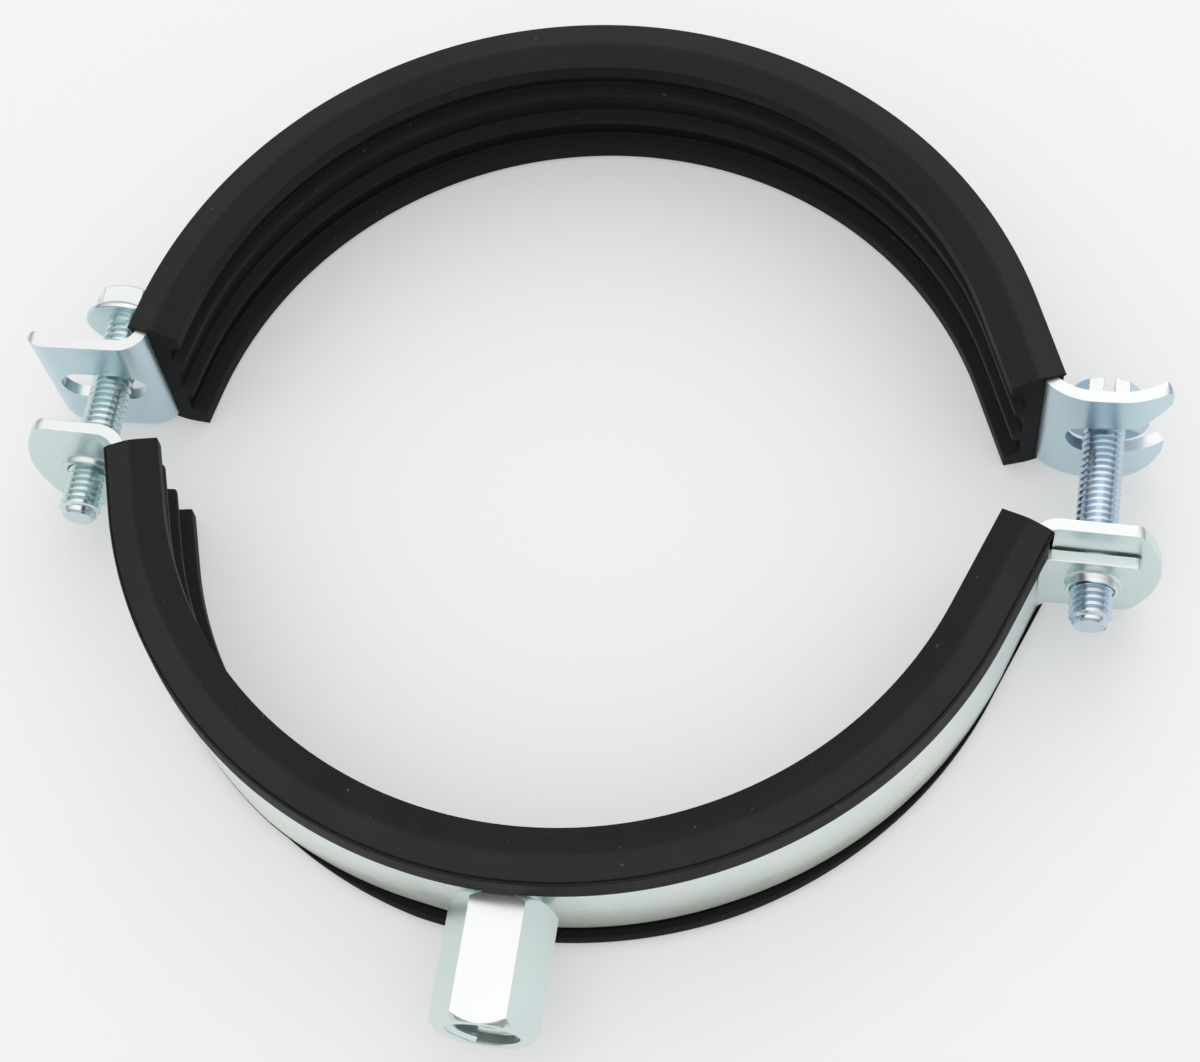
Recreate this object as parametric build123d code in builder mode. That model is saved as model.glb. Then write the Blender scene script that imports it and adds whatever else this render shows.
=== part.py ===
from build123d import *

import os
from dataclasses import dataclass
from math import cos, radians, sin, sqrt

# A two-screw pipe clamp with rubber liners, lying on its side with the pipe's axis upright.
# Each half is one bent steel strip in a moulded rubber channel. The lower half carries the long
# hexagonal connection nut and, on the right, a square nut plate. The screws run along Y, pass
# through slots in the upper ears and turn in threads on the lower ears. The upper half stands
# open, a little higher and turned a little, as a clamp does before it is tightened.
# All sizes are in millimetres. The origin is the centre of the lower half's ring, at its base.

# Pipe seat
lower_seat_radius = 58.4
upper_seat_spread = 1.4

# Steel strip
strip_thickness = 1.75
strip_width = 23.0

# Rubber liner section
web_thickness = 4.85
lip_thickness = 1.25
lip_height = 5.3
edge_thickness = 1.25
edge_crown = 0.8
crown_distance = 4.0
edge_land = 3.4
groove_depth = 2.3
rib_setback = 0.9
rib_width = 1.5
rib_spacing = 7.3
rib_slope = 0.6
pocket_clearance = 0.05

# Each ring keeps its radius down to an angle from the line through its centre, and runs straight
# on from there. Each liner is cut off at a length along the straight, some a little aslant.
lower_left_straight = 17.0
lower_right_straight = 20.5
upper_left_straight = 13.0
upper_right_straight = 20.5
lower_left_liner_length = 9.3
lower_right_liner_length = 15.75
upper_left_liner_length = 4.4
upper_right_liner_length = 12.9
lower_left_cut_slant = 2.9
upper_left_cut_slant = -2.7

# Bends between the straights and the ears, by their outer radius. On the upper right a wider and
# gentler curve follows the bend.
lower_left_bend = 5.3
lower_right_bend = 4.5
upper_left_bend = 4.5
upper_right_bend = 3.5
upper_right_easing_radius = 10.0
upper_right_easing = 36.0

# How far the cuts at the ears' corners reach past them
cut_margin = 1.0

# Place of the upper half on the lower one
upper_rise = 1.2
upper_turn = 2.6

# Ears: height of each mating face from its own ring's centre, and how far the ears reach past
# the screws
upper_ear_height = 7.7
lower_ear_height = 6.05
upper_left_flat = 7.4
upper_left_curl_radius = 3.2
upper_left_curl = 70.0
upper_right_flat = 0.95
upper_right_curl_radius = 14.0
upper_right_curl = 34.0
upper_lower_corner = 5.5
upper_top_corner = 1.5
lower_left_reach = 8.8
lower_right_reach = 9.25
lower_end_radius = 20.0
lower_end_corner = 1.8

# Slots in the upper ears, past the screw towards the ear's end and towards the ring
slot_clearance = 0.5
left_slot_outer = 7.6
left_slot_inner = 5.2
right_slot_inner = 5.4
right_mouth_start = 4.9

# Screws, from the outside of the lower band to their axes
left_screw_offset = 6.8
right_screw_offset = 8.65
screw_diameter = 6.0
screw_length = 32.0
screw_tip_chamfer = 0.4
thread_clearance = 0.08
flange_diameter = 12.5
flange_rim = 0.9
flange_slope = 0.7
hex_width = 10.0
head_height = 4.6
hex_chamfer = 0.7
driver_slot_width = 1.6
driver_slot_depth = 2.5
left_head_gap = 8.5
right_head_gap = 1.37
left_screw_turn = 60.0
right_screw_turn = 0.0

# Threaded collar drawn out of the left ear
collar_diameter = 8.0
collar_height = 1.1
collar_root_fillet = 0.9

# Square nut plate under the right ear
plate_length = 12.4
plate_height = 12.2
plate_thickness = 1.5
plate_corner = 1.0
plate_pad_diameter = 10.4
plate_pad_height = 0.7
plate_collar_diameter = 7.8
plate_collar_height = 1.5
clear_hole_diameter = 7.0

# Connection nut
nut_width = 13.0
nut_length = 18.3
nut_chamfer = 1.0
nut_outer_thread_radius = 4.25
nut_outer_thread_depth = 10.0
nut_inner_thread_radius = 3.4
nut_mouth_chamfer = 0.75
weld_diameter = 11.0
weld_gap = 0.2

# Sizes that follow from those above
liner_width = strip_width + 2 * edge_thickness
middle = liner_width / 2
strip_bottom = edge_thickness
lower_strip_radius = lower_seat_radius + web_thickness
upper_strip_radius = lower_strip_radius + upper_seat_spread
lower_band_radius = lower_strip_radius + strip_thickness
left_screw_x = -(lower_band_radius + left_screw_offset)
right_screw_x = lower_band_radius + right_screw_offset
thread_hole_radius = screw_diameter / 2 + thread_clearance
slot_height = screw_diameter + 2 * slot_clearance

turn_cos = cos(radians(upper_turn))
turn_sin = sin(radians(upper_turn))
upper_frame = Plane(origin=(0, upper_rise, 0), x_dir=(turn_cos, turn_sin, 0), z_dir=(0, 0, 1))
lower_frame = Plane(origin=(0, 0, 0), x_dir=(-1, 0, 0), z_dir=(0, 0, 1))


def ear_plane(frame, height=0.0):
    """The upright plane across a half's frame, with its first axis along the ears."""
    origin = frame.from_local_coords(Vector(0, height, 0))
    return Plane(origin=origin, x_dir=frame.x_dir, z_dir=frame.x_dir.cross(Vector(0, 0, 1)))


def section_plane(frame, angle):
    """The upright plane through a half's axis, at an angle from its first axis."""
    radial = frame.x_dir * cos(radians(angle)) + frame.y_dir * sin(radians(angle))
    return Plane(origin=frame.origin, x_dir=radial, z_dir=radial.cross(Vector(0, 0, 1)))


@dataclass
class Ear:
    """One end of a half, in the half's own frame: its strip from the ring to the tip, and the
    length and slant at which its liner is cut. Angles are in degrees."""

    side: int
    straight_from: float
    bend_radius: float
    flat_end: float
    liner_length: float
    cut_slant: float = 0.0
    easing_radius: float = 0.0
    easing: float = 0.0
    curl_radius: float = 0.0
    curl: float = 0.0

    def bend(self, strip_radius, ear_height):
        """The bend's centre, the straight's length and where the ear's flat begins."""
        lean = radians(self.straight_from)
        easing = radians(self.easing)
        widening = max(self.easing_radius - self.bend_radius, 0)
        centre_y = ear_height + self.bend_radius + widening * (1 - cos(easing))
        reach = strip_radius + self.bend_radius
        length = (reach * sin(lean) - centre_y) / cos(lean)
        centre_x = reach * cos(lean) + length * sin(lean)
        return (centre_x, centre_y), length, centre_x + widening * sin(easing)


def along_upper_half(screw_x, height):
    """Where a screw's axis crosses a given height of the upper half, along its ears."""
    return (screw_x + height * turn_sin) / turn_cos


def draw_strip_face(depth, strip_radius, ear_height, ears):
    """Draw one face of a half's strip, at a depth outside its pipe side. Returns the two tips."""
    first, last = ears
    round_arc = 180 - first.straight_from - last.straight_from
    CenterArc((0, 0), strip_radius + depth, first.straight_from, round_arc)
    tips = []
    for ear in ears:
        centre, length, flat_start = ear.bend(strip_radius, ear_height)
        lean = radians(ear.straight_from)
        ring_end = Vector(ear.side * cos(lean), sin(lean)) * (strip_radius + depth)
        Line(ring_end, ring_end + Vector(ear.side * sin(lean), -cos(lean)) * length)
        bend_arc = 90 - ear.straight_from - ear.easing
        bend_centre = (ear.side * centre[0], centre[1])
        CenterArc(bend_centre, ear.bend_radius - depth, 270 - ear.side * ear.easing, -ear.side * bend_arc)
        if ear.easing:
            easing_centre = (ear.side * flat_start, ear_height + ear.easing_radius)
            CenterArc(easing_centre, ear.easing_radius - depth, 270, -ear.side * ear.easing)
        height = ear_height + depth
        tip = Line((ear.side * flat_start, height), (ear.side * ear.flat_end, height)) @ 1
        if ear.curl:
            curl_centre = (ear.side * ear.flat_end, ear_height + ear.curl_radius)
            tip = CenterArc(curl_centre, ear.curl_radius - depth, 270, ear.side * ear.curl) @ 1
        tips.append(tip)
    return tips


def draw_strip(strip_radius, ear_height, ears):
    """Draw the outline of a half's bent strip as seen along the pipe."""
    inner_tips = draw_strip_face(0, strip_radius, ear_height, ears)
    outer_tips = draw_strip_face(strip_thickness, strip_radius, ear_height, ears)
    for inner_tip, outer_tip in zip(inner_tips, outer_tips):
        Line(inner_tip, outer_tip)


def draw_liner_section(seat_radius, strip_radius):
    """Draw the liner's section without its lips, as radius and height."""
    outer_radius = strip_radius + strip_thickness + lip_thickness
    pocket_radius = strip_radius - pocket_clearance
    pocket_bottom = edge_thickness - pocket_clearance
    groove_radius = seat_radius + groove_depth
    rib_radius = seat_radius + rib_setback
    rib_half = rib_width / 2
    rib_middle = rib_spacing / 2
    from_middle = [
        (groove_radius, rib_middle - rib_half - rib_slope),
        (rib_radius, rib_middle - rib_half),
        (rib_radius, rib_middle + rib_half),
        (groove_radius, rib_middle + rib_half + rib_slope),
        (groove_radius, middle - edge_land - rib_slope),
        (seat_radius, middle - edge_land),
        (seat_radius, middle - edge_crown),
        (seat_radius + crown_distance, middle),
        (outer_radius, middle - edge_crown),
        (outer_radius, middle - pocket_bottom),
        (pocket_radius, middle - pocket_bottom),
    ]
    upper = [(radius, middle + height) for radius, height in from_middle]
    lower = [(radius, middle - height) for radius, height in reversed(from_middle)]
    Polyline(*upper, *lower, close=True)


def draw_lips(strip_radius):
    """Draw the two lips that hook over the outside of the strip, as radius and height."""
    lip_inside = strip_radius + strip_thickness + pocket_clearance
    lip_outside = strip_radius + strip_thickness + lip_thickness
    lip_root = edge_thickness - pocket_clearance
    lip_middle = (lip_inside + lip_outside) / 2
    from_middle = middle - (lip_root + lip_height) / 2
    with Locations((lip_middle, middle - from_middle), (lip_middle, middle + from_middle)):
        Rectangle(lip_outside - lip_inside, lip_height - lip_root)


def ear_end_waste(reach, end_radius, corner):
    """What is cut away beyond an ear's end, which is an arc about the mid-line."""
    with BuildSketch() as outline:
        with Locations((reach - end_radius, 0)):
            Circle(end_radius)
        Rectangle(4 * reach, strip_width, mode=Mode.INTERSECT)
        fillet(outline.vertices().group_by(Axis.X)[-1], corner)
    with BuildSketch() as waste:
        with Locations((reach, 0)):
            Rectangle(strip_width, 2 * strip_width)
        add(outline.sketch, mode=Mode.SUBTRACT)
    return waste.sketch


# Lower band: the ring, two flat ears, the thread drawn out of the left ear and the clear hole
# in the right one. In this half's own frame the left ear lies on the positive side.
lower_left_end = -left_screw_x + lower_left_reach
lower_right_end = right_screw_x + lower_right_reach
lower_ear_face = -lower_ear_height - strip_thickness
collar_end = lower_ear_face - collar_height
lower_ears = (
    Ear(
        side=1,
        straight_from=lower_left_straight,
        bend_radius=lower_left_bend,
        flat_end=lower_left_end,
        liner_length=lower_left_liner_length,
        cut_slant=lower_left_cut_slant,
    ),
    Ear(
        side=-1,
        straight_from=lower_right_straight,
        bend_radius=lower_right_bend,
        flat_end=lower_right_end,
        liner_length=lower_right_liner_length,
    ),
)

with BuildPart() as lower_band:
    with BuildSketch(lower_frame.offset(strip_bottom)):
        with BuildLine():
            draw_strip(lower_strip_radius, lower_ear_height, lower_ears)
        make_face()
    extrude(amount=strip_width)
    for side, reach in ((1, lower_right_end), (-1, lower_left_end)):
        with BuildSketch(Plane(origin=(0, 0, middle), x_dir=(side, 0, 0), z_dir=(0, -side, 0))):
            add(ear_end_waste(reach, lower_end_radius, lower_end_corner))
        extrude(amount=lower_band_radius, both=True, mode=Mode.SUBTRACT)
    with BuildSketch(Plane(origin=(left_screw_x, 0, middle), x_dir=(1, 0, 0), z_dir=(0, 0, 1))):
        with BuildLine():
            root = collar_diameter / 2 + collar_root_fillet
            Polyline(
                (root, lower_ear_face),
                (0, lower_ear_face),
                (0, collar_end),
                (collar_diameter / 2, collar_end),
                (collar_diameter / 2, lower_ear_face - collar_root_fillet),
            )
            CenterArc((root, lower_ear_face - collar_root_fillet), collar_root_fillet, 90, 90)
        make_face()
    revolve(axis=Axis((left_screw_x, 0, middle), (0, 1, 0)))
    with BuildSketch(Plane.XZ.offset(lower_ear_height)):
        with Locations((left_screw_x, middle)):
            Circle(thread_hole_radius)
        with Locations((right_screw_x, middle)):
            Circle(clear_hole_diameter / 2)
    extrude(amount=strip_thickness + collar_height, mode=Mode.SUBTRACT)
lower_band.part.label = "lower_band"

# Upper band: the ring and two slotted ears. The left ear has a closed slot and a tight curl, the
# right ear an open slot with a flared mouth and a gentle curl.
left_crossing = -along_upper_half(left_screw_x, upper_ear_height)
right_crossing = along_upper_half(right_screw_x, upper_ear_height)
upper_left_curl_reach = upper_left_curl_radius * sin(radians(upper_left_curl))
upper_right_curl_reach = upper_right_curl_radius * sin(radians(upper_right_curl))
upper_left_tip = left_crossing + upper_left_flat + upper_left_curl_reach
upper_right_tip = right_crossing + upper_right_flat + upper_right_curl_reach
upper_ears = (
    Ear(
        side=1,
        straight_from=upper_right_straight,
        bend_radius=upper_right_bend,
        easing_radius=upper_right_easing_radius,
        easing=upper_right_easing,
        flat_end=right_crossing + upper_right_flat,
        curl_radius=upper_right_curl_radius,
        curl=upper_right_curl,
        liner_length=upper_right_liner_length,
    ),
    Ear(
        side=-1,
        straight_from=upper_left_straight,
        bend_radius=upper_left_bend,
        flat_end=left_crossing + upper_left_flat,
        curl_radius=upper_left_curl_radius,
        curl=upper_left_curl,
        liner_length=upper_left_liner_length,
        cut_slant=upper_left_cut_slant,
    ),
)

with BuildPart() as upper_band:
    with BuildSketch(upper_frame.offset(strip_bottom)):
        with BuildLine():
            draw_strip(upper_strip_radius, upper_ear_height, upper_ears)
        make_face()
    extrude(amount=strip_width)
    with BuildSketch(ear_plane(upper_frame)):
        left_slot_length = left_slot_outer + left_slot_inner
        with Locations((-left_crossing - (left_slot_outer - left_slot_inner) / 2, middle)):
            SlotOverall(left_slot_length, slot_height)
        slot_end = right_crossing - right_slot_inner + slot_height / 2
        mouth_start = right_crossing + right_mouth_start
        past_tip = upper_right_tip + strip_thickness
        with Locations((slot_end, middle)):
            Circle(slot_height / 2)
        with BuildLine():
            Polyline(
                (slot_end, middle - slot_height / 2),
                (past_tip, middle - slot_height / 2),
                (past_tip, middle + slot_height / 2 + past_tip - mouth_start),
                (mouth_start, middle + slot_height / 2),
                (slot_end, middle + slot_height / 2),
                close=True,
            )
        make_face()
    extrude(amount=2 * upper_strip_radius, both=True, mode=Mode.SUBTRACT)
    with BuildSketch(ear_plane(upper_frame)):
        for side, tip in ((1, upper_right_tip), (-1, -upper_left_tip)):
            for edge, size in ((-1, upper_lower_corner), (1, upper_top_corner)):
                centre_x = tip - side * size
                centre_z = middle + edge * (strip_width / 2 - size)
                block = size + cut_margin
                with Locations((centre_x + side * block / 2, centre_z + edge * block / 2)):
                    Rectangle(block, block)
                with Locations((centre_x, centre_z)):
                    Circle(size, mode=Mode.SUBTRACT)
    extrude(amount=2 * upper_strip_radius, both=True, mode=Mode.SUBTRACT)
upper_band.part.label = "upper_band"


def build_liner(label, frame, seat_radius, strip_radius, ear_height, ears):
    """A half's rubber liner: round the ring and straight on to its ends. The lips stop at the bends."""
    first, last = ears
    axis = Axis(frame.origin, (0, 0, 1))
    round_arc = 180 - first.straight_from - last.straight_from
    with BuildPart() as liner:
        with BuildSketch(section_plane(frame, first.straight_from)):
            with BuildLine():
                draw_liner_section(seat_radius, strip_radius)
            make_face()
            draw_lips(strip_radius)
        revolve(axis=axis, revolution_arc=round_arc)
        for ear in ears:
            angle = ear.straight_from if ear.side == 1 else 180 - ear.straight_from
            section = section_plane(frame, angle)
            slant = radians(ear.cut_slant)
            with BuildSketch(section):
                with BuildLine():
                    draw_liner_section(seat_radius, strip_radius)
                make_face()
            extrude(amount=ear.side * (ear.liner_length + middle * abs(sin(slant))))
            with BuildSketch(section):
                draw_lips(strip_radius)
            extrude(amount=ear.side * ear.bend(strip_radius, ear_height)[1])
            if ear.cut_slant:
                along = section.z_dir * ear.side
                cut_centre = section.from_local_coords(Vector(seat_radius, middle))
                cut = Plane(
                    origin=cut_centre + along * ear.liner_length,
                    z_dir=along * cos(slant) - Vector(0, 0, sin(slant)),
                )
                split(bisect_by=cut, keep=Keep.BOTTOM)
    liner.part.label = label
    return liner


lower_liner = build_liner(
    "lower_liner",
    lower_frame,
    lower_seat_radius,
    lower_strip_radius,
    lower_ear_height,
    lower_ears,
)
upper_liner = build_liner(
    "upper_liner",
    upper_frame,
    lower_seat_radius + upper_seat_spread,
    upper_strip_radius,
    upper_ear_height,
    upper_ears,
)

# Square nut plate: a round pad seats on the right ear, and its threaded collar points away
plate_back = lower_ear_face
with BuildPart() as nut_plate:
    with BuildSketch(Plane.XZ.offset(-plate_back)):
        with Locations((right_screw_x, middle)):
            Circle(plate_pad_diameter / 2)
    extrude(amount=plate_pad_height)
    with BuildSketch(Plane.XZ.offset(-plate_back + plate_pad_height)):
        with Locations((right_screw_x, middle)):
            RectangleRounded(plate_length, plate_height, plate_corner)
    extrude(amount=plate_thickness)
    with BuildSketch(Plane.XZ.offset(-plate_back + plate_pad_height + plate_thickness)):
        with Locations((right_screw_x, middle)):
            Circle(plate_collar_diameter / 2)
    extrude(amount=plate_collar_height)
    with BuildSketch(Plane.XZ.offset(-plate_back)):
        with Locations((right_screw_x, middle)):
            Circle(thread_hole_radius)
    extrude(amount=plate_pad_height + plate_thickness + plate_collar_height, mode=Mode.SUBTRACT)
nut_plate.part.label = "nut_plate"

# Connection nut: hexagonal bar, chamfered at both ends, threaded in two sizes and welded on the
# outside of the lower band
nut_seat = lower_band_radius + weld_gap
nut_end = nut_seat + nut_length
nut_corner = nut_width / sqrt(3)
nut_axis = Axis((0, 0, middle), (0, -1, 0))
nut_plane = Plane(origin=(0, 0, middle), x_dir=(1, 0, 0), z_dir=(0, 0, 1))

with BuildPart() as connection_nut:
    with BuildSketch(Plane.XZ.offset(nut_seat)):
        with Locations((0, middle)):
            RegularPolygon(nut_width / 2, 6, major_radius=False)
    extrude(amount=nut_length)
    with BuildSketch(nut_plane):
        with BuildLine():
            Polyline(
                (0, -nut_seat),
                (nut_width / 2, -nut_seat),
                (nut_corner, -nut_seat - nut_chamfer),
                (nut_corner, -nut_end + nut_chamfer),
                (nut_width / 2, -nut_end),
                (0, -nut_end),
                close=True,
            )
        make_face()
    revolve(axis=nut_axis, mode=Mode.INTERSECT)
    with BuildSketch(Plane.XZ.offset(nut_seat - nut_chamfer)):
        with Locations((0, middle)):
            Circle(weld_diameter / 2)
    extrude(amount=nut_chamfer)
    with BuildSketch(nut_plane.offset(-middle)):
        Circle(lower_band_radius)
    extrude(amount=liner_width, mode=Mode.SUBTRACT)
    with BuildSketch(nut_plane):
        with BuildLine():
            Polyline(
                (0, -lower_strip_radius),
                (nut_inner_thread_radius, -lower_strip_radius),
                (nut_inner_thread_radius, -nut_end + nut_outer_thread_depth),
                (nut_outer_thread_radius, -nut_end + nut_outer_thread_depth),
                (nut_outer_thread_radius, -nut_end + nut_mouth_chamfer),
                (nut_outer_thread_radius + nut_mouth_chamfer, -nut_end),
                (0, -nut_end),
                close=True,
            )
        make_face()
    revolve(axis=nut_axis, mode=Mode.SUBTRACT)
connection_nut.part.label = "connection_nut"


def build_screw(label, screw_x, flange_y, turn):
    """A flanged hexagon screw with a driver slot. Its tip points along -Y from the flange."""
    axis = Axis((screw_x, flange_y, middle), (0, 1, 0))
    profile = Plane(origin=(screw_x, flange_y, middle), x_dir=(1, 0, 0), z_dir=(0, 0, 1))
    head = Plane(
        origin=(screw_x, flange_y, middle),
        x_dir=(cos(radians(turn)), 0, sin(radians(turn))),
        z_dir=(0, 1, 0),
    )
    shank_radius = screw_diameter / 2
    hex_corner = hex_width / sqrt(3)
    with BuildPart() as screw:
        with BuildSketch(profile):
            with BuildLine():
                Polyline(
                    (0, -screw_length),
                    (shank_radius - screw_tip_chamfer, -screw_length),
                    (shank_radius, -screw_length + screw_tip_chamfer),
                    (shank_radius, 0),
                    (flange_diameter / 2, 0),
                    (flange_diameter / 2, flange_rim),
                    (hex_width / 2, flange_rim + flange_slope),
                    (0, flange_rim + flange_slope),
                    close=True,
                )
            make_face()
        revolve(axis=axis)
        with BuildSketch(head.offset(flange_rim)):
            RegularPolygon(hex_width / 2, 6, major_radius=False)
        extrude(amount=head_height - flange_rim)
        with BuildSketch(profile):
            with BuildLine():
                Polyline(
                    (hex_width / 2 - hex_chamfer / 2, head_height),
                    (hex_corner, head_height - hex_chamfer),
                    (hex_corner, head_height),
                    close=True,
                )
            make_face()
        revolve(axis=axis, mode=Mode.SUBTRACT)
        with BuildSketch(head.offset(head_height - driver_slot_depth)):
            Rectangle(driver_slot_width, 2 * hex_corner)
        extrude(amount=driver_slot_depth, mode=Mode.SUBTRACT)
    screw.part.label = label
    return screw


def upper_ear_back(screw_x):
    """How far along Y the back of an upper ear stands, at a screw's axis."""
    back = upper_ear_height + strip_thickness
    along = along_upper_half(screw_x, back)
    return upper_rise + along * turn_sin + back * turn_cos


left_screw = build_screw(
    "left_screw",
    left_screw_x,
    upper_ear_back(left_screw_x) + left_head_gap,
    left_screw_turn,
)
right_screw = build_screw(
    "right_screw",
    right_screw_x,
    upper_ear_back(right_screw_x) + right_head_gap,
    right_screw_turn,
)

os.makedirs("parts", exist_ok=True)
pieces = (
    lower_band,
    upper_band,
    lower_liner,
    upper_liner,
    nut_plate,
    connection_nut,
    left_screw,
    right_screw,
)
for piece in pieces:
    export_step(piece.part, f"parts/{piece.part.label}.step")
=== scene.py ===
from dataclasses import dataclass
from math import asin, atan2, ceil, cos, degrees, pi, radians, sin, sqrt, tan

import bmesh
import bpy
from mathutils import Matrix, Vector


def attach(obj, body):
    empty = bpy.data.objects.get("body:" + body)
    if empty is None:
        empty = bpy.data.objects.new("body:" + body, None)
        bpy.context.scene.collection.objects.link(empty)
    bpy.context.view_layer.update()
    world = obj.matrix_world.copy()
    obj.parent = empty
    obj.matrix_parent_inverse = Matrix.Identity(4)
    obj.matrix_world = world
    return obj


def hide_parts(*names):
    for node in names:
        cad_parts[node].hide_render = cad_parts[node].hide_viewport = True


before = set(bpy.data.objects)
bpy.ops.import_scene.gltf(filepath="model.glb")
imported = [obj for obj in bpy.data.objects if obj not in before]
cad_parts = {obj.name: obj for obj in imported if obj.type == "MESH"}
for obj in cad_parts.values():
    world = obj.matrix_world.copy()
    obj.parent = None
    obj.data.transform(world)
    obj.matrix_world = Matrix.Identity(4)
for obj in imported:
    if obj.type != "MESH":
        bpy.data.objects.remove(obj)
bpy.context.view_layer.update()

# Lengths below are in millimetres, angles in degrees. What stands on something else runs into it
# by the overlap
MM = 0.001
tiny = 1e-3
overlap = 0.3

# The steel strip, and where its two halves stand. Each half is drawn in a frame of its own, with
# the crown of its ring towards +Y; the lower half is then turned half round
strip_thickness = 1.75
strip_width = 23.0
strip_bottom = 1.25
middle = 12.75
lower_seat_radius = 58.4
upper_seat_radius = 59.8
web_thickness = 4.85
upper_rise = 1.2
upper_turn = 2.6
upper_ear_height = 7.7
lower_ear_height = 6.05

# Ears: where the flat ends, then the radius and the turn of the curl at its tip
upper_left_flat = 7.4
upper_left_curl_radius = 3.2
upper_left_curl = 70.0
upper_right_flat = 0.95
upper_right_curl_radius = 14.0
upper_right_curl = 34.0
upper_lower_corner = 5.5
upper_top_corner = 1.5
lower_left_reach = 8.8
lower_right_reach = 9.25
lower_end_radius = 20.0
lower_end_corner = 1.8

# Slots in the upper ears, measured out from the screws
slot_height = 7.0
left_slot_outer = 7.6
left_slot_inner = 5.2
right_slot_inner = 5.4
right_mouth_start = 4.9
past_tip = 3.0

# The rubber liner's section, with the crease along the lower half's upper edge
lip_thickness = 1.25
edge_crown = 0.8
crown_distance = 4.0
edge_land = 3.4
groove_depth = 2.3
rib_setback = 0.9
rib_width = 1.5
rib_spacing = 7.3
rib_slope = 0.6
pocket_clearance = 0.05
crown_rounding = 1.2
crease_width = 0.3
crease_depth = 0.3
crease_setback = 0.35
crease_rise = 0.1
crease_edge = 0.05
lip_taper = 0.15
lip_edge = 0.1
lip_end = 6.8

# Along the lower half's lower edge the strip leans out over the liner's lip, of which only a low
# rim shows. Beside the nut the rim spreads outwards; further on it is a sliver, tucked in
strip_lean = 1.15
rim_height = 1.0
rim_spread = 0.8
rim_thickness = 0.8
rim_sliver = 0.06
rim_tuck = 0.3
rim_edge = 0.2
gutter_floor = 0.2

# Degrees from the nut at which the rim starts to thin, would be gone, starts to come back and is
# back, and the share of it that comes back at the ears
left_rim_spans = (12.0, 34.0, 66.0, 80.0)
right_rim_spans = (26.0, 78.0, 64.0, 81.5)
end_share = 0.3

# Screws
left_screw_x = -71.8
right_screw_x = 73.65
screw_length = 32.0
screw_radius = 3.0
screw_pitch = 1.0
screw_root_radius = 2.42
screw_point = 0.3
screw_neck = 0.7
screw_neck_radius = 2.9
screw_thread_start = 0.45
screw_thread_end = 0.6
screw_run_in = 0.8
thread_sink = 0.1
thread_root_share = 0.44
thread_crest_share = 0.07
flange_radius = 6.25
flange_rim = 0.9
flange_slope = 0.7
flange_under_edge = 0.15
flange_edge_in = 0.25
flange_edge_down = 0.2
hex_width = 10.0
head_height = 4.6
head_chamfer_in = 0.35
hex_chamfer = 0.7
driver_slot_width = 1.6
driver_slot_depth = 2.5
left_head_gap = 8.5
right_head_gap = 1.37
left_screw_turn = 60.0
right_screw_turn = 0.0

# Thread collar on the left ear, nut plate on the right one
thread_hole_radius = 3.08
clear_hole_radius = 3.5
collar_radius = 4.0
collar_height = 1.1
collar_root_fillet = 0.9
collar_edge = 0.2
collar_flare = 0.25
plate_length = 12.4
plate_left_end = 7.4
plate_height = 12.2
plate_thickness = 1.7
plate_corner = 1.0
plate_pad_radius = 5.2
plate_pad_height = 0.5
plate_collar_radius = 3.6
plate_collar_height = 1.5
plate_collar_fillet = 0.5
plate_burr = 0.35

# Connection nut
nut_width = 13.0
nut_seat = 65.2
nut_length = 18.3
nut_chamfer = 1.1
nut_stand_off = 0.5
outer_thread_core = 4.25
outer_thread_radius = 5.0
outer_thread_pitch = 1.5
outer_thread_depth = 10.0
inner_thread_core = 3.4
inner_thread_radius = 4.0
inner_thread_pitch = 1.25
outer_thread_start = 0.7
outer_thread_end = 0.75
inner_thread_margin = 0.6
nut_mouth_flare = 0.2

# The weld bead on which the nut stands
weld_inside_radius = 4.2
weld_radius = 5.0
weld_rise = 0.2
weld_sink = 0.4
weld_inner_sink = 0.3

# How far edges are rounded
steel_edge = 0.2
plate_edge = 0.12
nut_edge = 0.16
screw_edge = 0.12
rubber_edge = 0.3
inner_corner = 0.12

# How finely round forms are divided
ring_step = 1.5
straight_steps = 6
bend_step = 8.0
curl_step = 4.0
turned_steps = 64
head_steps = 96
thread_steps = 28
hole_corners = 48

lower_strip_radius = lower_seat_radius + web_thickness
upper_strip_radius = upper_seat_radius + web_thickness
turn_cos = cos(radians(upper_turn))
turn_sin = sin(radians(upper_turn))
lower_place = Matrix.Rotation(pi, 4, "Z")
upper_place = Matrix.Translation((0, upper_rise, 0)) @ Matrix.Rotation(radians(upper_turn), 4, "Z")
towards_plus_y = Matrix.Rotation(-pi / 2, 4, "X")
towards_minus_y = Matrix.Rotation(pi / 2, 4, "X")
to_metres = Matrix.Scale(MM, 4)

# How far out along the upper ears each screw crosses them
left_crossing = -(left_screw_x + upper_ear_height * turn_sin) / turn_cos
right_crossing = (right_screw_x + upper_ear_height * turn_sin) / turn_cos


# Meshes

def mesh_of(bm, weld=1e-4):
    """A closed mesh from a bmesh, with its doubles merged and its faces outwards."""
    bmesh.ops.remove_doubles(bm, verts=bm.verts, dist=weld)
    bmesh.ops.recalc_face_normals(bm, faces=bm.faces)
    mesh = bpy.data.meshes.new("shape")
    bm.to_mesh(mesh)
    bm.free()
    return mesh


def through(mesh, kind, **settings):
    """The mesh with one modifier applied to it."""
    holder = bpy.data.objects.new("holder", mesh)
    bpy.context.collection.objects.link(holder)
    modifier = holder.modifiers.new(kind.lower(), kind)
    for name, value in settings.items():
        setattr(modifier, name, value)
    graph = bpy.context.evaluated_depsgraph_get()
    result = bpy.data.meshes.new_from_object(holder.evaluated_get(graph))
    bpy.data.objects.remove(holder)
    return result


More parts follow.
